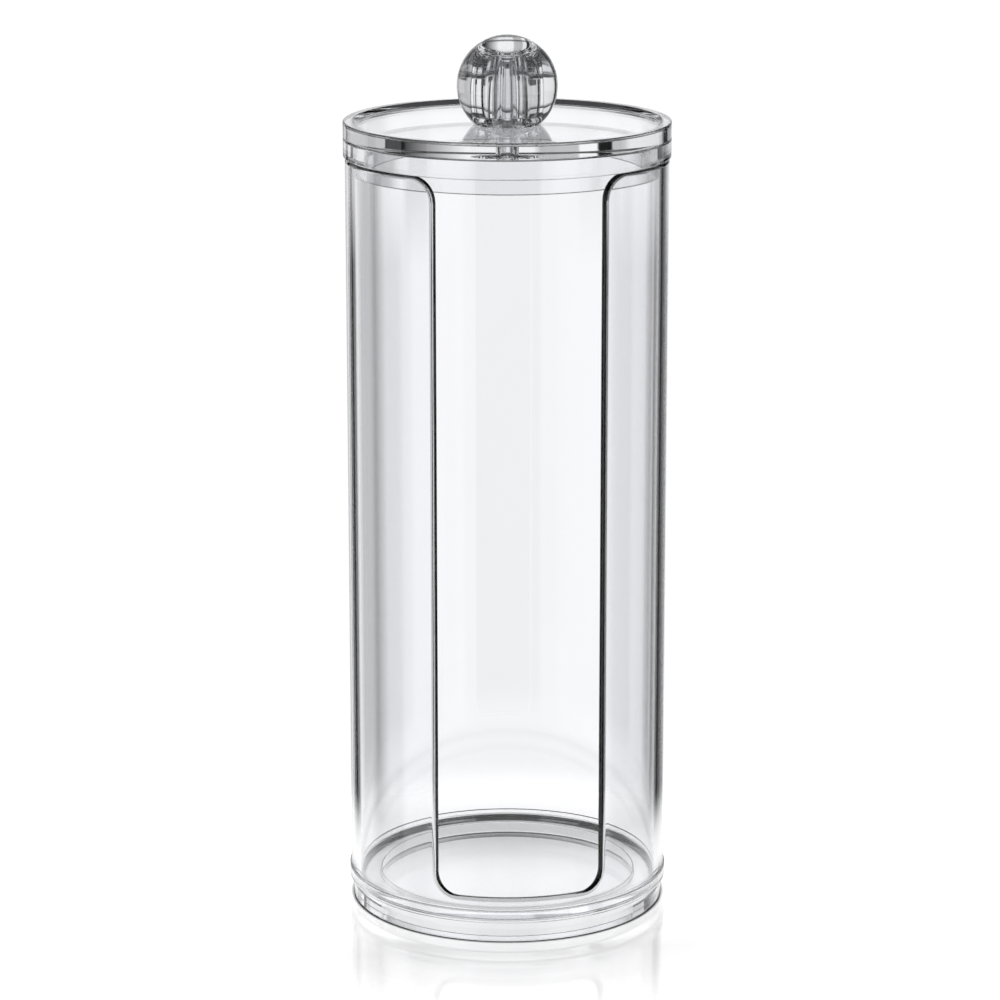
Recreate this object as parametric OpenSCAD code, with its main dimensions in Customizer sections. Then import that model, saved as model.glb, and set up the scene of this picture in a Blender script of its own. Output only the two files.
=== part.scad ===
/* [Tube] */
// Bore that the pads stand in
bore_d = 67.2; // [64:0.1:90]
// Wall thickness of the tube
wall_t = 2; // [1.4:0.1:3]
// Height of the tube above the base rim
tube_h = 162.2; // [80:0.1:220]
// Rounding of the tube's top edge
tube_edge_r = 0.3; // [0.1:0.05:0.6]

/* [Front slot] */
// Width of the slot between its straight sides
slot_w = 36.8; // [20:0.1:46]
// Height of the sill that is left above the base rim
sill_h = 2.8; // [1:0.1:20]
// Radius of the slot's lower corners
slot_corner_r = 4.8; // [1:0.1:8]
// Radius where the slot's sides turn into the tube's top edge
slot_flare_r = 5.5; // [1:0.1:7]

/* [Base] */
// Thickness of the plate that the pads lie on
plate_t = 3; // [1.4:0.1:5]
// Diameter of the recess under the plate
recess_d = 58; // [50:0.1:62]
// Height of the recess under the plate
recess_h = 4; // [2:0.1:6]
// How far the rim stands up above the plate
rim_up = 0.4; // [0.2:0.1:3]
// Depth to which the tube's end is let into the base
seat_depth = 2.6; // [1.5:0.1:6]
// How far the let-in end is stepped back from the tube's outside
seat_step = 1; // [0.5:0.1:1.2]
// Gap between the let-in end and the groove on each side of it
seat_gap = 0.06; // [0.03:0.01:0.15]
// How far the rim stands out from the tube
rim_out = 0.4; // [0.1:0.1:2]
// Height of the foot below the rim
foot_h = 4.5; // [2:0.1:5]
// How far the foot is set back under the rim
foot_in = 0.9; // [0.3:0.1:3]

/* [Lid] */
// How far the lid stands out from the tube
lid_out = 0.4; // [0:0.1:2]
// Thickness of the lid's disc at its edge
disc_t = 3.6; // [2:0.1:6]
// Depth of the dish in the top of the disc
dish_depth = 1; // [0.3:0.1:1.4]
// Width of the raised border round the dish
border_w = 2; // [1:0.1:5]
// Thickness of the collar between the disc and the tube
collar_t = 4.3; // [2:0.1:8]
// Depth to which the skirt plugs into the bore
skirt_h = 3.5; // [2:0.1:12]
// Wall thickness of the skirt
skirt_t = 1.85; // [1:0.05:3]
// Gap all round between the skirt and the bore
skirt_gap = 0.25; // [0.1:0.05:0.5]
// Rounding of the outer edges of the lid and the base
edge_r = 0.4; // [0.1:0.05:0.8]

/* [Knob] */
// Diameter of the ball
ball_d = 22.1; // [18:0.1:30]
// Diameter of the flat that the ball stands on
ball_flat_d = 14.2; // [13:0.1:17]
// Diameter of the socket in the ball
socket_d = 10; // [9:0.1:12]
// Wall left in the ball above the socket
socket_roof = 4.8; // [2:0.1:7]
// Gap between the root of the post and the socket
socket_gap = 0.08; // [0.03:0.01:0.2]
// Diameter of the post
post_d = 6.7; // [5:0.1:8]
// Gap left above the post
post_top_gap = 1; // [0.3:0.1:2]
// Height of the wide root of the post
root_h = 3.3; // [1:0.1:6]
// Diameter of the core hole at its mouth
core_mouth_d = 3.2; // [2:0.1:4]
// Diameter of the core hole at its tip
core_tip_d = 2.4; // [1.5:0.1:3]
// Wall left in the post above the core hole
core_roof = 1.6; // [1:0.1:4]

/* [Hidden] */
$fn = 160;
cut_extra = 1;

tube_r = bore_d / 2 + wall_t;
plate_z = recess_h + plate_t;
rim_top_z = plate_z + rim_up;
seat_z = rim_top_z - seat_depth;
tube_top_z = rim_top_z + tube_h;
sill_z = rim_top_z + sill_h;

seat_r = tube_r - seat_step;
rim_r = tube_r + rim_out;
foot_r = rim_r - foot_in;

lid_r = tube_r + lid_out;
skirt_r = bore_d / 2 - skirt_gap;
skirt_bore_r = skirt_r - skirt_t;
disc_z = tube_top_z + collar_t;
disc_top_z = disc_z + disc_t;
dish_z = disc_top_z - dish_depth;

ball_r = ball_d / 2;
ball_z = dish_z + sqrt(ball_r * ball_r - ball_flat_d * ball_flat_d / 4);
socket_top_z = ball_z + ball_r - socket_roof;
post_top_z = socket_top_z - post_top_gap;
root_r = socket_d / 2 - socket_gap;
core_top_z = post_top_z - core_roof;

// Half section of a round slab whose two outer edges are rounded
module rounded_section(inner_r, outer_r, low_z, high_z, round_r) {
    translate([inner_r, low_z])
        square([outer_r - inner_r - round_r, high_z - low_z]);
    translate([inner_r, low_z + round_r])
        square([outer_r - inner_r, high_z - low_z - 2 * round_r]);
    for (z = [low_z + round_r, high_z - round_r])
        translate([outer_r - round_r, z])
            circle(round_r);
}

// Moulded base: a plate on a foot ring that is open underneath, with a groove for the tube's end and a wider rim
module base_cup() {
    color([0.86, 0.89, 0.92, 0.5])
    rotate_extrude()
    difference() {
        union() {
            rounded_section(0, foot_r, 0, rim_top_z, edge_r);
            rounded_section(0, rim_r, foot_h, rim_top_z, edge_r);
        }
        translate([0, -cut_extra])
            square([recess_d / 2, recess_h + cut_extra]);
        translate([0, plate_z])
            square([seat_r + seat_gap, rim_top_z]);
        translate([bore_d / 2 - seat_gap, seat_z])
            square([seat_r - bore_d / 2 + 2 * seat_gap, rim_top_z]);
    }
}

// Outline of the slot seen from the front, open at the top and with its upper corners turned outwards
module slot_outline() {
    half_w = slot_w / 2;
    translate([-half_w, sill_z + slot_corner_r])
        square([slot_w, tube_top_z + cut_extra - sill_z - slot_corner_r]);
    translate([slot_corner_r - half_w, sill_z])
        square([slot_w - 2 * slot_corner_r, tube_top_z - sill_z]);
    for (side = [0, 1])
        mirror([side, 0]) {
            translate([half_w - slot_corner_r, sill_z + slot_corner_r])
                circle(slot_corner_r);
            difference() {
                translate([0, tube_top_z - slot_flare_r])
                    square([half_w + slot_flare_r, slot_flare_r + cut_extra]);
                translate([half_w + slot_flare_r, tube_top_z - slot_flare_r])
                    circle(slot_flare_r);
            }
        }
}

// Tube with a stepped lower end that is let into the base, and a tall slot down its front
module body_shell() {
    color([0.84, 0.88, 0.92, 0.45])
    difference() {
        rotate_extrude() {
            translate([bore_d / 2, seat_z])
                square([seat_r - bore_d / 2, seat_depth + tube_edge_r]);
            translate([bore_d / 2, rim_top_z])
                square([wall_t, tube_h - tube_edge_r]);
            translate([bore_d / 2 + tube_edge_r, tube_top_z - 2 * tube_edge_r])
                square([wall_t - 2 * tube_edge_r, 2 * tube_edge_r]);
            for (r = [bore_d / 2 + tube_edge_r, tube_r - tube_edge_r])
                translate([r, tube_top_z - tube_edge_r])
                    circle(tube_edge_r);
        }
        rotate([90, 0, 0])
            linear_extrude(tube_r + cut_extra)
                slot_outline();
    }
}

// Collar that rests on the tube's top edge, with a skirt that plugs into the bore
module lid_collar() {
    color([0.86, 0.89, 0.93, 0.5])
    rotate_extrude() {
        rounded_section(skirt_bore_r, lid_r, tube_top_z, disc_z, edge_r);
        translate([skirt_bore_r, tube_top_z - skirt_h])
            square([skirt_t, skirt_h + collar_t / 2]);
    }
}

// Disc with a shallow dish in its top, a cored post for the knob and a wide root that centres the ball
module lid_disc() {
    color([0.82, 0.86, 0.9, 0.5])
    difference() {
        union() {
            rotate_extrude()
            difference() {
                rounded_section(0, lid_r, disc_z, disc_top_z, edge_r);
                translate([0, dish_z])
                    square([lid_r - border_w, disc_t]);
            }
            translate([0, 0, disc_z + edge_r])
                cylinder(h = dish_z + root_h - disc_z - edge_r, r = root_r);
            translate([0, 0, disc_z + edge_r])
                cylinder(h = post_top_z - disc_z - edge_r, d = post_d);
        }
        translate([0, 0, disc_z - cut_extra])
            cylinder(h = core_top_z - disc_z + cut_extra, d1 = core_mouth_d, d2 = core_tip_d);
    }
}

// Ball with a flat underside and a blind socket that goes over the post
module knob_ball() {
    color([0.8, 0.83, 0.86, 0.55])
    difference() {
        translate([0, 0, ball_z])
            sphere(ball_r);
        translate([-ball_r, -ball_r, dish_z - ball_d])
            cube([ball_d, ball_d, ball_d]);
        translate([0, 0, dish_z - cut_extra])
            cylinder(h = socket_top_z - dish_z + cut_extra, d = socket_d);
    }
}

base_cup();
body_shell();
lid_collar();
lid_disc();
knob_ball();
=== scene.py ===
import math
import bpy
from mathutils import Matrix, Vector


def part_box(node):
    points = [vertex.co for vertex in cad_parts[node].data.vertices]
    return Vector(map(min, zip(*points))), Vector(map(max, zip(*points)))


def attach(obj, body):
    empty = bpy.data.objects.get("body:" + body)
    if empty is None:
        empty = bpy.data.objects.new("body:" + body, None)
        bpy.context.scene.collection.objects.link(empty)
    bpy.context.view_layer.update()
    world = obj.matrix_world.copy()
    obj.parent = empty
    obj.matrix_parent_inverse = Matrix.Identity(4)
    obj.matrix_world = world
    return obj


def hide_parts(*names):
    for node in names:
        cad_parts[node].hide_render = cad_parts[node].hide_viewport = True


bl_info = {
    "name": "Cotton Pad Holder",
    "version": (1, 0, 0),
    "blender": (4, 5, 0),
    "location": "View3D > Sidebar > Pad Holder",
    "description": "Clear moulded cotton pad holder: slotted tube, stepped base and lid with a ball knob",
    "category": "Add Mesh",
}

import bpy
from bpy.props import FloatProperty, PointerProperty, StringProperty
from mathutils import Euler, Vector

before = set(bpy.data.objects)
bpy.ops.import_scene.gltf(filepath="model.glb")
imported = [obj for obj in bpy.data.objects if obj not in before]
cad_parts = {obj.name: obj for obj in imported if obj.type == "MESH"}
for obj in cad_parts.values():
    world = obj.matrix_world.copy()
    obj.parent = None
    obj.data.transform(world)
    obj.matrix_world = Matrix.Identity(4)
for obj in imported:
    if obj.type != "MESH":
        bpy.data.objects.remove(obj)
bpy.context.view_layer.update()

MM = 0.001
BASE_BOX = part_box("base_cup")
TUBE_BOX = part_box("body_shell")
COLLAR_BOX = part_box("lid_collar")
DISC_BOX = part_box("lid_disc")
BALL_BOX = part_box("knob_ball")

# Steps round the axis of a turned piece, along one rounded corner and up the ball's outline
TURN_STEPS = 256
ROUND_STEPS = 8
BALL_STEPS = 96
# Vertices closer than this are one point
SAME_POINT = 0.001 * MM


class HolderSizes(bpy.types.PropertyGroup):
    """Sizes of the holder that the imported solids' boxes don't give"""

    wall: FloatProperty(
        name="Tube Wall",
        description="Wall thickness of the tube",
        default=2.0 * MM,
        unit="LENGTH",
    )
    slot_width: FloatProperty(
        name="Slot Width",
        description="Width of the front slot between its straight sides",
        default=36.8 * MM,
        unit="LENGTH",
    )
    sill: FloatProperty(
        name="Sill",
        description="Height of the sill left in front above the base rim",
        default=2.8 * MM,
        unit="LENGTH",
    )
    slot_corner: FloatProperty(
        name="Slot Corner",
        description="Radius of the slot's lower corners",
        default=4.8 * MM,
        unit="LENGTH",
    )
    slot_flare: FloatProperty(
        name="Slot Flare",
        description="Radius where the slot's sides turn into the tube's top edge",
        default=5.5 * MM,
        unit="LENGTH",
    )
    recess: FloatProperty(
        name="Recess Radius",
        description="Radius of the recess under the base plate",
        default=29.0 * MM,
        unit="LENGTH",
    )
    recess_height: FloatProperty(
        name="Recess Height",
        description="Height of the recess under the base plate",
        default=4.0 * MM,
        unit="LENGTH",
    )
    plate: FloatProperty(
        name="Base Plate",
        description="Thickness of the plate that the pads lie on",
        default=3.0 * MM,
        unit="LENGTH",
    )
    foot_height: FloatProperty(
        name="Foot Height",
        description="Height of the foot below the rim",
        default=4.5 * MM,
        unit="LENGTH",
    )
    foot_in: FloatProperty(
        name="Foot Setback",
        description="How far the foot is set back under the rim",
        default=0.9 * MM,
        unit="LENGTH",
    )
    seat_step: FloatProperty(
        name="Seat Step",
        description="How far the let-in end of the tube is stepped back",
        default=1.0 * MM,
        unit="LENGTH",
    )
    seat_gap: FloatProperty(
        name="Seat Gap",
        description="Gap between the let-in end and the groove on each side of it",
        default=0.06 * MM,
        unit="LENGTH",
    )
    disc_thickness: FloatProperty(
        name="Disc Thickness",
        description="Thickness of the lid's disc at its edge",
        default=3.6 * MM,
        unit="LENGTH",
    )
    border: FloatProperty(
        name="Border",
        description="Width of the raised border round the dish",
        default=2.0 * MM,
        unit="LENGTH",
    )
    skirt_gap: FloatProperty(
        name="Skirt Gap",
        description="Gap all round between the skirt and the bore",
        default=0.25 * MM,
        unit="LENGTH",
    )
    skirt_wall: FloatProperty(
        name="Skirt Wall",
        description="Wall thickness of the skirt",
        default=1.85 * MM,
        unit="LENGTH",
    )
    ball: FloatProperty(
        name="Ball Radius",
        description="Radius of the knob's ball",
        default=11.05 * MM,
        unit="LENGTH",
    )
    socket: FloatProperty(
        name="Socket Radius",
        description="Radius of the socket in the ball",
        default=5.0 * MM,
        unit="LENGTH",
    )
    socket_roof: FloatProperty(
        name="Socket Roof",
        description="Wall left in the ball above the socket",
        default=4.8 * MM,
        unit="LENGTH",
    )
    root_height: FloatProperty(
        name="Root Height",
        description="Height of the wide root of the post",
        default=3.3 * MM,
        unit="LENGTH",
    )
    root_gap: FloatProperty(
        name="Root Gap",
        description="Gap between the root of the post and the socket",
        default=0.08 * MM,
        unit="LENGTH",
    )
    post: FloatProperty(
        name="Post Radius",
        description="Radius of the post inside the ball",
        default=3.35 * MM,
        unit="LENGTH",
    )
    core_mouth: FloatProperty(
        name="Core Mouth",
        description="Radius of the core hole at the disc's underside",
        default=1.6 * MM,
        unit="LENGTH",
    )
    core_tip: FloatProperty(
        name="Core Tip",
        description="Radius of the core hole at its blind end",
        default=1.2 * MM,
        unit="LENGTH",
    )
    core_roof: FloatProperty(
        name="Core Roof",
        description="Wall left in the post above the core hole",
        default=1.6 * MM,
        unit="LENGTH",
    )
    edge: FloatProperty(
        name="Edge Rounding",
        description="Rounding of the outer edges",
        default=0.4 * MM,
        unit="LENGTH",
    )
    lip: FloatProperty(
        name="Lip Rounding",
        description="Rounding of the tube's top edge and of the slot's edges",
        default=0.95 * MM,
        unit="LENGTH",
    )
    fine_edge: FloatProperty(
        name="Fine Edge Rounding",
        description="Rounding of the edges that meet another piece",
        default=0.12 * MM,
        unit="LENGTH",
    )
    air: FloatProperty(
        name="Seat Air",
        description="Film of air left between two clear faces that rest on each other",
        default=0.03 * MM,
        unit="LENGTH",
    )


class HolderLooks(bpy.types.PropertyGroup):
    """Colours of the holder and of its stand"""

    tint: StringProperty(
        name="Plastic Tint",
        description="sRGB hex colour that the clear plastic takes in a thin wall",
        default="FCFCFD",
    )
    deep_tint: StringProperty(
        name="Deep Tint",
        description="sRGB hex colour of the clear plastic's faint flow bands",
        default="F8F9FA",
    )
    stand: StringProperty(
        name="Stand",
        description="sRGB hex colour of the pale floor",
        default="E0E0E0",
    )


def linear(hex_colour):
    """Linear colour with alpha from an sRGB hex value."""
    channels = [int(hex_colour[i : i + 2], 16) / 255 for i in (0, 2, 4)]
    return [
        c / 12.92 if c <= 0.04045 else ((c + 0.055) / 1.055) ** 2.4 for c in channels
    ] + [1.0]


def add_node(tree, kind, settings=None, inputs=None):
    """Adds one node with its settings; an input is a value or the socket that feeds it."""
    node = tree.nodes.new(kind)
    for name, value in (settings or {}).items():
        setattr(node, name, value)
    for name, value in (inputs or {}).items():
        if isinstance(value, bpy.types.NodeSocket):
            tree.links.new(value, node.inputs[name])
        else:
            node.inputs[name].default_value = value
    return node


def start_object_mode():
    """Leaves edit mode and deselects everything."""
    if bpy.context.object and bpy.context.object.mode != "OBJECT":
        bpy.ops.object.mode_set(mode="OBJECT")
    bpy.ops.object.select_all(action="DESELECT")


def pick_vertices(piece, wanted):
    """Selects, in edit mode, only the vertices that a test on their place accepts."""
    bpy.ops.mesh.select_mode(type="VERT")
    bpy.ops.mesh.select_all(action="DESELECT")
    bpy.ops.object.mode_set(mode="OBJECT")
    for vertex in piece.data.vertices:
        vertex.select = wanted(vertex.co)
    bpy.ops.object.mode_set(mode="EDIT")


def draw_outline(name, corners, depth):
    """Draws a closed outline as an upright face at one y, and rounds its corners.

    A corner is (across, up, rounding), and depth is the face's y.
    """
    start_object_mode()
    bpy.ops.mesh.primitive_plane_add(size=MM, location=(0, 0, 0))
    piece = bpy.context.object
    piece.name = piece.data.name = name
    bpy.ops.object.mode_set(mode="EDIT")
    bpy.ops.mesh.select_mode(type="VERT")
    bpy.ops.mesh.select_all(action="SELECT")
    bpy.ops.mesh.merge(type="CENTER")
    places = [Vector((across, depth, up)) for across, up, _ in corners]
    bpy.ops.transform.translate(value=places[0])
    for before, after in zip(places, places[1:]):
        bpy.ops.mesh.extrude_region_move(
            TRANSFORM_OT_translate={"value": after - before}
        )
    bpy.ops.mesh.select_all(action="SELECT")
    bpy.ops.mesh.edge_face_add()
    for rounding in sorted({corner[2] for corner in corners if corner[2] > 0}):
        centres = [p for p, corner in zip(places, corners) if corner[2] == rounding]
        pick_vertices(
            piece, lambda co: any((co - p).length < SAME_POINT for p in centres)
        )
        bpy.ops.mesh.bevel(
            offset_type="OFFSET",
            offset=rounding,
            segments=ROUND_STEPS,
            profile=0.5,
            affect="VERTICES",
            clamp_overlap=False,
        )
    return piece


def turn_outline(piece):
    """Spins the outline round the axis into a closed solid."""
    bpy.ops.mesh.select_mode(type="FACE")
    bpy.ops.mesh.select_all(action="SELECT")
    bpy.ops.mesh.delete(type="ONLY_FACE")
    bpy.ops.mesh.select_mode(type="EDGE")
    bpy.ops.mesh.select_all(action="DESELECT")
    bpy.ops.object.mode_set(mode="OBJECT")
    vertices = piece.data.vertices
    for edge in piece.data.edges:
        edge.select = all(abs(vertices[i].co.x) < SAME_POINT for i in edge.vertices)
    bpy.ops.object.mode_set(mode="EDIT")
    bpy.ops.mesh.delete(type="EDGE")
    bpy.ops.mesh.select_all(action="SELECT")
    bpy.ops.mesh.spin(
        steps=TURN_STEPS,
        angle=2 * math.pi,
        center=(0, 0, 0),
        axis=(0, 0, 1),
    )
    bpy.ops.mesh.select_all(action="SELECT")
    bpy.ops.mesh.remove_doubles(threshold=SAME_POINT)
    bpy.ops.mesh.normals_make_consistent(inside=False)
    bpy.ops.object.mode_set(mode="OBJECT")


def smooth(piece, angle=35):
    """Smooths the rounded corners and keeps the flat faces flat."""
    start_object_mode()
    piece.select_set(True)
    bpy.context.view_layer.objects.active = piece
    bpy.ops.object.shade_smooth_by_angle(angle=math.radians(angle))
    weighted = piece.modifiers.new("flat faces stay flat", "WEIGHTED_NORMAL")
    weighted.keep_sharp = True
    weighted.weight = 100
    bpy.ops.object.modifier_apply(modifier=weighted.name)


def hand_over(piece, material, node, body):
    """Gives the piece its finish, hides the CAD node it stands in for, and hangs it on its body."""
    piece.data.materials.clear()
    piece.data.materials.append(material)
    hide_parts(node)
    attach(piece, body)


def clear_styrene(name, band_mm, tint, deep_tint):
    """Injection-moulded crystal polystyrene, polished in the mould.

    It is water clear with a high index, so its edges turn dark or flash white. Faint bands
    from the melt's flow and very fine rubbing marks break its mirror shine a little.
    """
    material = bpy.data.materials.new(name)
    material.use_nodes = True
    tree = material.node_tree
    tree.nodes.clear()
    place = add_node(tree, "ShaderNodeTexCoord").outputs["Object"]
    flow_place = add_node(
        tree,
        "ShaderNodeMapping",
        inputs={
            "Vector": place,
            "Scale": (1 / (band_mm * MM), 1 / (band_mm * MM), 0.35 / (band_mm * MM)),
        },
    )
    flow = add_node(
        tree,
        "ShaderNodeTexNoise",
        inputs={
            "Vector": flow_place.outputs["Vector"],
            "Scale": 1.0,
            "Detail": 2.0,
            "Roughness": 0.45,
            "Distortion": 0.6,
        },
    )
    # Rubbing marks are far finer than 0.6 mm on the real one, and drawn this coarse to show
    rub_mm = 0.6
    rub = add_node(
        tree,
        "ShaderNodeTexNoise",
        inputs={
            "Vector": place,
            "Scale": 1 / (rub_mm * MM),
            "Detail": 4.0,
            "Roughness": 0.6,
        },
    )
    colour = add_node(
        tree,
        "ShaderNodeMix",
        settings={"data_type": "RGBA"},
        inputs={
            "Factor": flow.outputs["Fac"],
            "A": linear(tint),
            "B": linear(deep_tint),
        },
    )
    gloss = add_node(
        tree,
        "ShaderNodeMapRange",
        inputs={
            "Value": rub.outputs["Fac"],
            "From Min": 0.45,
            "From Max": 0.8,
            "To Min": 0.0,
            "To Max": 0.02,
        },
    )
    waves = add_node(
        tree,
        "ShaderNodeBump",
        inputs={
            "Strength": 0.06,
            "Distance": 0.02 * MM,
            "Height": flow.outputs["Fac"],
        },
    )
    plastic = add_node(
        tree,
        "ShaderNodeBsdfPrincipled",
        inputs={
            "Base Color": colour.outputs["Result"],
            "Roughness": gloss.outputs["Result"],
            "IOR": 1.59,
            "Transmission Weight": 1.0,
            "Normal": waves.outputs["Normal"],
        },
    )
    passing = add_node(
        tree, "ShaderNodeBsdfTransparent", inputs={"Color": linear("FDFDFD")}
    )
    path = add_node(tree, "ShaderNodeLightPath")
    lamps = add_node(
        tree,
        "ShaderNodeMath",
        settings={"operation": "MAXIMUM"},
        inputs={
            0: path.outputs["Is Shadow Ray"],
            1: path.outputs["Is Diffuse Ray"],
        },
    )
    whole = add_node(
        tree,
        "ShaderNodeMixShader",
        inputs={
            0: lamps.outputs["Value"],
            1: plastic.outputs["BSDF"],
            2: passing.outputs["BSDF"],
        },
    )
    add_node(
        tree,
        "ShaderNodeOutputMaterial",
        inputs={"Surface": whole.outputs["Shader"]},
    )
    return material


class HOLDER_OT_base(bpy.types.Operator):
    """Models the base: a plate on a foot ring, a groove for the tube's end and a wider rim"""

    bl_idname = "holder.base"
    bl_label = "Base"

    def execute(self, context):
        sizes, looks = context.scene.holder_sizes, context.scene.holder_looks
        rim_r, rim_top = BASE_BOX[1].x, BASE_BOX[1].z
        foot_r = rim_r - sizes.foot_in
        seat_r = TUBE_BOX[1].x - sizes.seat_step + sizes.seat_gap
        plate_r = TUBE_BOX[1].x - sizes.wall - sizes.seat_gap
        plate_top = sizes.recess_height + sizes.plate
        seat = TUBE_BOX[0].z
        piece = draw_outline(
            "base_moulding",
            [
                (0, sizes.recess_height, 0),
                (sizes.recess, sizes.recess_height, sizes.edge),
                (sizes.recess, 0, sizes.fine_edge),
                (foot_r, 0, sizes.edge),
                (foot_r, sizes.foot_height, sizes.fine_edge),
                (rim_r, sizes.foot_height, sizes.edge),
                (rim_r, rim_top, sizes.edge),
                (seat_r, rim_top, sizes.fine_edge),
                (seat_r, seat, sizes.fine_edge),
                (plate_r, seat, sizes.fine_edge),
                (plate_r, plate_top, sizes.edge),
                (0, plate_top, 0),
            ],
            0,
        )
        turn_outline(piece)
        smooth(piece)
        plastic = clear_styrene(
            "crystal styrene, moulded, base", 14, looks.tint, looks.deep_tint
        )
        hand_over(piece, plastic, "base_cup", "holder")
        return {"FINISHED"}


class HOLDER_OT_tube(bpy.types.Operator):
    """Models the tube, with its let-in lower end and the tall slot down its front"""

    bl_idname = "holder.tube"
    bl_label = "Tube"

    def execute(self, context):
        sizes, looks = context.scene.holder_sizes, context.scene.holder_looks
        tube_r = TUBE_BOX[1].x
        middle = tube_r - sizes.wall / 2
        piece = self.flat_wall(sizes, tube_r, middle)
        self.step_back(sizes, piece, middle)
        self.round_lip(sizes, piece)
        self.bend_round(piece, middle)
        smooth(piece)
        plastic = clear_styrene(
            "crystal styrene, moulded, tube", 22, looks.tint, looks.deep_tint
        )
        hand_over(piece, plastic, "body_shell", "holder")
        return {"FINISHED"}

    def flat_wall(self, sizes, tube_r, middle):
        """The wall laid out flat, with the slot in its top edge; its outer face looks to -Y."""
        reach = math.pi * middle
        half = middle * math.asin(sizes.slot_width / 2 / tube_r)
        low, top = TUBE_BOX[0].z + sizes.air, TUBE_BOX[1].z
        sill = BASE_BOX[1].z + sizes.sill
        piece = draw_outline(
            "tube_moulding",
            [
                (-reach, low, 0),
                (reach, low, 0),
                (reach, top, 0),
                (half, top, sizes.slot_flare),
                (half, sill, sizes.slot_corner),
                (-half, sill, sizes.slot_corner),
                (-half, top, sizes.slot_flare),
                (-reach, top, 0),
            ],
            -sizes.wall / 2,
        )
        bpy.ops.mesh.select_all(action="SELECT")
        bpy.ops.mesh.extrude_region_move(
            TRANSFORM_OT_translate={"value": (0, sizes.wall, 0)}
        )
        bpy.ops.mesh.select_all(action="SELECT")
        bpy.ops.mesh.normals_make_consistent(inside=False)
        bpy.ops.object.mode_set(mode="OBJECT")
        return piece

    def step_back(self, sizes, piece, middle):
        """Cuts the outer face of the let-in end back, up to the shoulder on the base's rim."""
        shoulder = BASE_BOX[1].z + sizes.air
        # The cutter stands well out of the wall at its face and at both ends
        long, deep = 3 * math.pi * middle, 4 * sizes.seat_step
        start_object_mode()
        bpy.ops.mesh.primitive_cube_add(size=1, location=(0, 0, 0))
        cutter = bpy.context.object
        bpy.ops.object.mode_set(mode="EDIT")
        bpy.ops.transform.resize(value=(long, deep, shoulder))
        bpy.ops.transform.translate(
            value=(0, sizes.seat_step - sizes.wall / 2 - deep / 2, shoulder / 2)
        )
        start_object_mode()
        piece.select_set(True)
        bpy.context.view_layer.objects.active = piece
        cut = piece.modifiers.new("let-in end", "BOOLEAN")
        cut.operation = "DIFFERENCE"
        cut.solver = "EXACT"
        cut.object = cutter
        bpy.ops.object.modifier_apply(modifier=cut.name)
        bpy.data.objects.remove(cutter)

    def round_lip(self, sizes, piece):
        """Opens the two ends that meet at the back, and rounds the slot and the top edge."""
        shoulder = BASE_BOX[1].z + sizes.air
        reach = max(vertex.co.x for vertex in piece.data.vertices)
        bpy.ops.object.mode_set(mode="EDIT")
        bpy.ops.mesh.select_mode(type="FACE")
        bpy.ops.mesh.select_all(action="DESELECT")
        bpy.ops.object.mode_set(mode="OBJECT")
        for face in piece.data.polygons:
            face.select = abs(face.center.x) > reach - SAME_POINT
        bpy.ops.object.mode_set(mode="EDIT")
        bpy.ops.mesh.delete(type="ONLY_FACE")
        bpy.ops.mesh.select_mode(type="EDGE")
        bpy.ops.mesh.select_all(action="DESELECT")
        bpy.ops.object.mode_set(mode="OBJECT")
        for edge in piece.data.edges:
            ends = [piece.data.vertices[i].co for i in edge.vertices]
            edge.select = (
                abs(ends[0].y - ends[1].y) < SAME_POINT
                and all(abs(end.y) > sizes.wall / 2 - SAME_POINT for end in ends)
                and all(end.z > shoulder + SAME_POINT for end in ends)
                and any(abs(end.x) < reach - SAME_POINT for end in ends)
            )
        bpy.ops.object.mode_set(mode="EDIT")
        bpy.ops.mesh.bevel(
            offset_type="OFFSET",
            offset=sizes.lip,
            segments=ROUND_STEPS,
            profile=0.5,
            affect="EDGES",
            clamp_overlap=False,
        )
        bpy.ops.object.mode_set(mode="OBJECT")

    def bend_round(self, piece, middle):
        """Slices the flat wall into strips and bends it round the axis until its ends meet."""
        bpy.ops.object.mode_set(mode="EDIT")
        for step in range(1, TURN_STEPS):
            bpy.ops.mesh.select_all(action="SELECT")
            bpy.ops.mesh.bisect(
                plane_co=(math.pi * middle * (2 * step / TURN_STEPS - 1), 0, 0),
                plane_no=(1, 0, 0),
            )
        bpy.ops.object.mode_set(mode="OBJECT")
        bent = piece.modifiers.new("round the axis", "SIMPLE_DEFORM")
        bent.deform_method = "BEND"
        bent.deform_axis = "Z"
        bent.angle = 2 * math.pi
        bpy.ops.object.modifier_apply(modifier=bent.name)
        bpy.ops.object.mode_set(mode="EDIT")
        bpy.ops.mesh.select_all(action="SELECT")
        bpy.ops.transform.translate(value=(0, -middle, 0))
        bpy.ops.mesh.remove_doubles(threshold=SAME_POINT)
        bpy.ops.mesh.normals_make_consistent(inside=False)
        bpy.ops.object.mode_set(mode="OBJECT")


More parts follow.
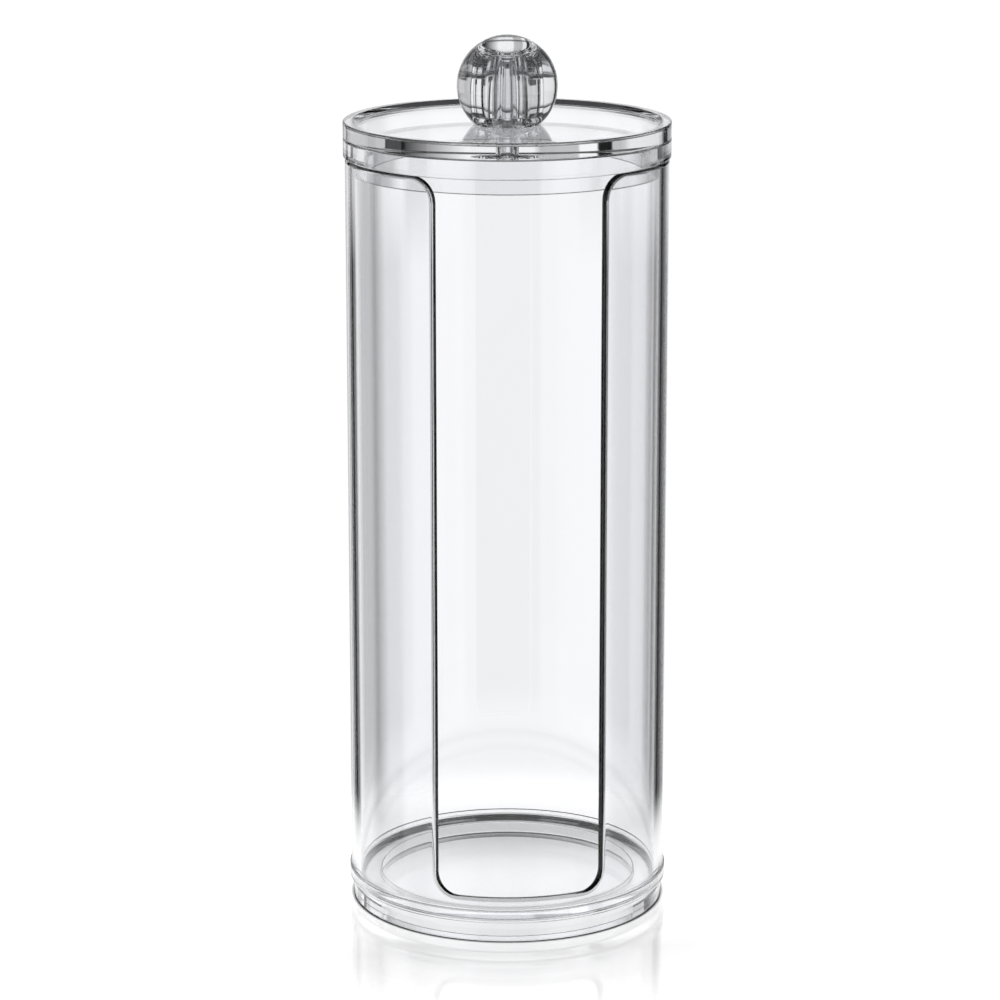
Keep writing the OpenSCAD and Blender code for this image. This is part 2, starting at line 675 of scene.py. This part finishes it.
class HOLDER_OT_collar(bpy.types.Operator):
    """Models the lid's collar with the skirt that plugs into the tube"""

    bl_idname = "holder.collar"
    bl_label = "Lid Collar"

    def execute(self, context):
        sizes, looks = context.scene.holder_sizes, context.scene.holder_looks
        lid_r, top = COLLAR_BOX[1].x, COLLAR_BOX[1].z - sizes.air
        seat = TUBE_BOX[1].z + sizes.air
        skirt_r = TUBE_BOX[1].x - sizes.wall - sizes.skirt_gap
        skirt_bore = skirt_r - sizes.skirt_wall
        low = COLLAR_BOX[0].z
        piece = draw_outline(
            "lid_collar_moulding",
            [
                (skirt_bore, low, sizes.fine_edge),
                (skirt_r, low, sizes.fine_edge),
                (skirt_r, seat, 0),
                (lid_r, seat, sizes.edge),
                (lid_r, top, sizes.edge),
                (skirt_bore, top, sizes.fine_edge),
            ],
            0,
        )
        turn_outline(piece)
        smooth(piece)
        plastic = clear_styrene(
            "crystal styrene, moulded, lid collar", 12, looks.tint, looks.deep_tint
        )
        hand_over(piece, plastic, "lid_collar", "lid")
        return {"FINISHED"}


class HOLDER_OT_disc(bpy.types.Operator):
    """Models the lid's dished disc with the cored post for the knob"""

    bl_idname = "holder.disc"
    bl_label = "Lid Disc"

    def execute(self, context):
        sizes, looks = context.scene.holder_sizes, context.scene.holder_looks
        lid_r, low = DISC_BOX[1].x, DISC_BOX[0].z
        top = low + sizes.disc_thickness
        dish, post_top = BALL_BOX[0].z, DISC_BOX[1].z
        root_r = sizes.socket - sizes.root_gap
        root_top = dish + sizes.root_height
        border_r = lid_r - sizes.border
        core_top = post_top - sizes.core_roof
        piece = draw_outline(
            "lid_disc_moulding",
            [
                (0, core_top, 0),
                (sizes.core_tip, core_top, sizes.edge),
                (sizes.core_mouth, low, sizes.fine_edge),
                (lid_r, low, sizes.edge),
                (lid_r, top, sizes.edge),
                (border_r, top, sizes.fine_edge),
                (border_r - (top - dish), dish, sizes.edge),
                (root_r, dish, sizes.fine_edge),
                (root_r, root_top, sizes.fine_edge),
                (sizes.post, root_top, sizes.fine_edge),
                (sizes.post, post_top, sizes.edge),
                (0, post_top, 0),
            ],
            0,
        )
        turn_outline(piece)
        smooth(piece)
        plastic = clear_styrene(
            "crystal styrene, moulded, lid disc", 16, looks.tint, looks.deep_tint
        )
        hand_over(piece, plastic, "lid_disc", "lid")
        return {"FINISHED"}


class HOLDER_OT_knob(bpy.types.Operator):
    """Models the ball with its flat and the blind socket over the post"""

    bl_idname = "holder.knob"
    bl_label = "Ball Knob"

    def execute(self, context):
        sizes, looks = context.scene.holder_sizes, context.scene.holder_looks
        flat, top = BALL_BOX[0].z + sizes.air, BALL_BOX[1].z
        centre = top - sizes.ball
        socket_top = top - sizes.socket_roof
        start = math.asin((flat - centre) / sizes.ball)
        ball_flat = sizes.ball * math.cos(start)
        turn = (math.pi / 2 - start) / BALL_STEPS
        arc = [
            (
                sizes.ball * math.cos(start + step * turn),
                centre + sizes.ball * math.sin(start + step * turn),
                0,
            )
            for step in range(1, BALL_STEPS)
        ]
        piece = draw_outline(
            "knob_ball_moulding",
            [
                (0, socket_top, 0),
                (sizes.socket, socket_top, sizes.edge),
                (sizes.socket, flat, sizes.fine_edge),
                (ball_flat, flat, sizes.fine_edge),
                *arc,
                (0, top, 0),
            ],
            0,
        )
        turn_outline(piece)
        smooth(piece)
        plastic = clear_styrene(
            "crystal styrene, moulded, knob", 9, looks.tint, looks.deep_tint
        )
        hand_over(piece, plastic, "knob_ball", "lid")
        return {"FINISHED"}


class HOLDER_OT_stage(bpy.types.Operator):
    """Makes the pale floor, the soft studio surround and the camera"""

    bl_idname = "holder.stage"
    bl_label = "Stage"

    # Where the camera stands: its turn to the left of the slot, its distance and its height
    camera_turn = -4.9
    camera_distance = 0.815
    camera_height = 0.2939
    camera_tilt = 13.926
    camera_lens = 134.96
    # The photograph's frame holds the object this share of its width right of the centre
    framing = 0.0073

    # The round stand: its radius, the shares of it between which it fades out, and its painted glow, as
    # it is no lamp. It lies a film of air below the base, so that the two faces don't flicker
    stand_radius = 0.1
    stand_fade = (0.5, 0.98)
    stand_painted_glow = 1.75
    stand_drop = 0.03 * MM
    # Share of the glow by the distance in metres from the middle, painted shade: dimmer under the plate,
    # near black under the foot ring for a painted contact shadow, and a painted soft shadow round it
    stand_painted_shade = (
        (0.0, 0.45),
        (0.0322, 0.43),
        (0.0326, 0.01),
        (0.0354, 0.01),
        (0.0357, 0.53),
        (0.06, 0.62),
        (0.08, 0.8),
    )
    # Painted light on the stand, brighter towards the back: from here to here in y, and by how much
    stand_front, stand_back = (-0.04, 1.0), (-0.005, 1.45)

    # Panels of the surround, painted in this order: the direction that each stands in, in degrees
    # clockwise from +Y, its half width, the width of its soft edge, and its grey
    side_grey = 0.6
    panels = (
        (4.9, 10, 18, 1.0),
        (-9, 5.5, 2, 0.55),
        (-17.5, 3, 0.8, 1.0),
        (39, 4, 20, 0.05),
        (75, 31, 0.8, 0.6),
        (39, 4, 0.8, 0.01),
        (-23, 2.4, 0.8, 0.01),
        (-45, 11, 3, 0.9),
        (-66, 4.5, 0.8, 0.01),
        (-90, 6, 2, 1.0),
        (-107, 10, 1, 0.04),
        (110, 11, 1, 0.04),
        (135, 14, 4, 1.0),
        (185, 24, 3, 0.08),
    )
    # Panels that stand only below eye level, painted over the others in this order
    low_panels = (
        (76, 21, 6, 0.05),
        (-77, 16, 3, 0.05),
        (124, 18, 6, 0.85),
        (-114, 18, 6, 0.85),
        (-28, 4, 0.8, 0.01),
        (23.5, 2.5, 0.8, 0.01),
        (-20.5, 2.2, 0.8, 0.01),
    )
    # Heights are those of a direction of length one. The low panels fade in over the first pair and
    # the dark below the stand over the second
    low_heights = (-0.16, -0.18)
    below_heights = (-0.46, -0.54)
    # How dark the ceiling is, by height: a gap over the backdrop, a bright strip and the dark above
    ceiling_heights = (
        (0.24, 0.0),
        (0.31, 1.0),
        (0.326, 1.0),
        (0.334, 0.0),
        (0.44, 0.0),
        (0.48, 1.0),
    )
    ceiling_colour = (0.06, 0.06, 0.06, 1.0)
    below_colour = (0.06, 0.06, 0.065, 1.0)
    # What the camera itself sees behind the object
    plain_white = (1.02, 1.02, 1.02, 1.0)

    def execute(self, context):
        self.make_camera(context)
        self.make_floor(context)
        self.make_surround(context)
        return {"FINISHED"}

    def make_camera(self, context):
        turn = math.radians(self.camera_turn)
        start_object_mode()
        bpy.ops.object.camera_add(
            location=(
                math.sin(turn) * self.camera_distance,
                -math.cos(turn) * self.camera_distance,
                self.camera_height,
            )
        )
        camera = context.object
        camera.name = "camera"
        camera.rotation_euler = Euler(
            (math.radians(90 - self.camera_tilt), 0, turn), "XYZ"
        )
        camera.data.lens = self.camera_lens
        camera.data.sensor_width = 36
        camera.data.shift_x = -self.framing
        camera.data.clip_start = 0.01
        context.scene.camera = camera

    def make_floor(self, context):
        start_object_mode()
        bpy.ops.mesh.primitive_circle_add(
            vertices=128,
            radius=self.stand_radius,
            fill_type="NGON",
            location=(0, 0, -self.stand_drop),
        )
        floor = context.object
        floor.name = "floor"
        floor.data.materials.append(self.floor_material(context))

    def floor_material(self, context):
        """White acrylic, polished and lacquered, with a painted glow though it is no lamp, which carries
        painted shade under and round the base and painted light towards the back.

        It mirrors the holder faintly, and fades into the white surround at its edge.
        """
        looks = context.scene.holder_looks
        material = bpy.data.materials.new("white acrylic, polished, stand, painted glow and shade")
        material.use_nodes = True
        tree = material.node_tree
        tree.nodes.clear()
        place = add_node(tree, "ShaderNodeTexCoord").outputs["Object"]
        reach = add_node(
            tree,
            "ShaderNodeVectorMath",
            settings={"operation": "LENGTH"},
            inputs={0: place},
        )
        fade_start, fade_end = self.stand_fade
        fade = add_node(
            tree,
            "ShaderNodeMapRange",
            settings={"interpolation_type": "SMOOTHSTEP"},
            inputs={
                "Value": reach.outputs["Value"],
                "From Min": self.stand_radius * fade_start,
                "From Max": self.stand_radius * fade_end,
            },
        )
        share = add_node(
            tree,
            "ShaderNodeMapRange",
            inputs={"Value": reach.outputs["Value"], "From Max": self.stand_radius},
        )
        # Painted shade by the distance from the middle: dimmer under the plate, a painted contact shadow
        # under the foot ring and a painted soft shadow round it
        painted_shade_ramp = add_node(
            tree, "ShaderNodeValToRGB", inputs={"Fac": share.outputs["Result"]}
        )
        self.set_stops(
            painted_shade_ramp,
            [(radius / self.stand_radius, tone) for radius, tone in self.stand_painted_shade],
        )
        parts = add_node(tree, "ShaderNodeSeparateXYZ", inputs={"Vector": place})
        # Painted light: the stand is made brighter towards the back
        painted_light_towards_back = add_node(
            tree,
            "ShaderNodeMapRange",
            inputs={
                "Value": parts.outputs["Y"],
                "From Min": self.stand_front[0],
                "From Max": self.stand_back[0],
                "To Min": self.stand_front[1],
                "To Max": self.stand_back[1],
            },
        )
        # The painted shade times the painted light towards the back
        painted_light_and_shade = add_node(
            tree,
            "ShaderNodeMath",
            settings={"operation": "MULTIPLY"},
            inputs={0: painted_shade_ramp.outputs["Color"], 1: painted_light_towards_back.outputs["Result"]},
        )
        colour = add_node(
            tree,
            "ShaderNodeMix",
            settings={"data_type": "RGBA", "blend_type": "MULTIPLY"},
            inputs={
                "Factor": 1.0,
                "A": linear(looks.stand),
                "B": painted_light_and_shade.outputs["Value"],
            },
        )
        # The colour, with its painted shade and light, also drives the emission: a painted glow
        acrylic = add_node(
            tree,
            "ShaderNodeBsdfPrincipled",
            inputs={
                "Base Color": colour.outputs["Result"],
                "Roughness": 0.08,
                "IOR": 1.49,
                "Coat Weight": 1.0,
                "Coat Roughness": 0.05,
                "Coat IOR": 1.5,
                "Emission Color": colour.outputs["Result"],
                "Emission Strength": self.stand_painted_glow,
            },
        )
        open_edge = add_node(tree, "ShaderNodeBsdfTransparent")
        whole = add_node(
            tree,
            "ShaderNodeMixShader",
            inputs={
                0: fade.outputs["Result"],
                1: acrylic.outputs["BSDF"],
                2: open_edge.outputs["BSDF"],
            },
        )
        add_node(
            tree,
            "ShaderNodeOutputMaterial",
            inputs={"Surface": whole.outputs["Shader"]},
        )
        return material

    def make_surround(self, context):
        """A white tent with dark flags, dark below, and a bright strip under a dark ceiling."""
        scene = context.scene
        world = bpy.data.worlds.new("studio surround")
        scene.world = world
        world.use_nodes = True
        tree = world.node_tree
        tree.nodes.clear()
        way = add_node(tree, "ShaderNodeTexCoord").outputs["Generated"]
        parts = add_node(tree, "ShaderNodeSeparateXYZ", inputs={"Vector": way})
        height = parts.outputs["Z"]
        turn = add_node(
            tree,
            "ShaderNodeMath",
            settings={"operation": "ARCTAN2"},
            inputs={0: parts.outputs["X"], 1: parts.outputs["Y"]},
        )
        angle = add_node(
            tree,
            "ShaderNodeMath",
            settings={"operation": "DEGREES"},
            inputs={0: turn.outputs["Value"]},
        ).outputs["Value"]
        low, below = (
            add_node(
                tree,
                "ShaderNodeMapRange",
                inputs={"Value": height, "From Min": start, "From Max": end},
            ).outputs["Result"]
            for start, end in (self.low_heights, self.below_heights)
        )
        above = add_node(tree, "ShaderNodeValToRGB", inputs={"Fac": height})
        self.set_stops(above, self.ceiling_heights)
        path = add_node(tree, "ShaderNodeLightPath")
        layers = [
            (self.sector(tree, angle, centre, half, soft, cover), self.grey(tone))
            for panels, cover in ((self.panels, 1.0), (self.low_panels, low))
            for centre, half, soft, tone in panels
        ]
        layers.append((above.outputs["Color"], self.ceiling_colour))
        layers.append((below, self.below_colour))
        layers.append((path.outputs["Is Camera Ray"], self.plain_white))
        painted = self.grey(self.side_grey)
        for share, layer in layers:
            painted = add_node(
                tree,
                "ShaderNodeMix",
                settings={"data_type": "RGBA"},
                inputs={"Factor": share, "A": painted, "B": layer},
            ).outputs["Result"]
        light = add_node(
            tree,
            "ShaderNodeBackground",
            inputs={"Color": painted, "Strength": 1.0},
        )
        add_node(
            tree,
            "ShaderNodeOutputWorld",
            inputs={"Surface": light.outputs["Background"]},
        )
        # Light passes many clear walls on its way, and a plain view keeps white white
        scene.view_settings.view_transform = "Standard"
        scene.cycles.max_bounces = 32
        scene.cycles.transmission_bounces = 32
        scene.cycles.glossy_bounces = 16
        scene.cycles.transparent_max_bounces = 32
        scene.cycles.blur_glossy = 0.0

    def grey(self, tone):
        """A faintly cool grey."""
        return (tone, tone, tone * 1.015, 1.0)

    def set_stops(self, ramp, steps):
        """Sets a ramp's stops from pairs of a place from nought to one and its tone."""
        stops = ramp.color_ramp.elements
        while len(stops) < len(steps):
            stops.new(0.5)
        for stop, (where, tone) in zip(stops, steps):
            stop.position = where
            stop.color = (tone, tone, tone, 1.0)

    def sector(self, tree, angle, centre, half, soft, cover):
        """As much as cover inside a sector of directions, and nought outside, with soft edges."""
        away = add_node(
            tree,
            "ShaderNodeMath",
            settings={"operation": "SUBTRACT"},
            inputs={0: angle, 1: centre},
        )
        wrapped = add_node(
            tree,
            "ShaderNodeMath",
            settings={"operation": "WRAP"},
            inputs={0: away.outputs["Value"], 1: 180.0, 2: -180.0},
        )
        size = add_node(
            tree,
            "ShaderNodeMath",
            settings={"operation": "ABSOLUTE"},
            inputs={0: wrapped.outputs["Value"]},
        )
        inside = add_node(
            tree,
            "ShaderNodeMapRange",
            inputs={
                "Value": size.outputs["Value"],
                "From Min": half + soft,
                "From Max": half,
            },
        )
        return add_node(
            tree,
            "ShaderNodeMath",
            settings={"operation": "MULTIPLY"},
            inputs={0: inside.outputs["Result"], 1: cover},
        ).outputs["Value"]


class HOLDER_PT_panel(bpy.types.Panel):
    """Lists the holder's pieces in the sidebar"""

    bl_idname = "HOLDER_PT_panel"
    bl_label = "Cotton Pad Holder"
    bl_space_type = "VIEW_3D"
    bl_region_type = "UI"
    bl_category = "Pad Holder"

    def draw(self, context):
        for operator in OPERATORS:
            self.layout.operator(operator.bl_idname)


OPERATORS = (
    HOLDER_OT_stage,
    HOLDER_OT_base,
    HOLDER_OT_tube,
    HOLDER_OT_collar,
    HOLDER_OT_disc,
    HOLDER_OT_knob,
)
CLASSES = (HolderSizes, HolderLooks, *OPERATORS, HOLDER_PT_panel)


def register():
    for each in CLASSES:
        bpy.utils.register_class(each)
    bpy.types.Scene.holder_sizes = PointerProperty(type=HolderSizes)
    bpy.types.Scene.holder_looks = PointerProperty(type=HolderLooks)


def unregister():
    del bpy.types.Scene.holder_looks
    del bpy.types.Scene.holder_sizes
    for each in reversed(CLASSES):
        bpy.utils.unregister_class(each)


def main():
    register()
    bpy.ops.holder.stage()
    bpy.ops.holder.base()
    bpy.ops.holder.tube()
    bpy.ops.holder.collar()
    bpy.ops.holder.disc()
    bpy.ops.holder.knob()


if __name__ == "__main__":
    main()
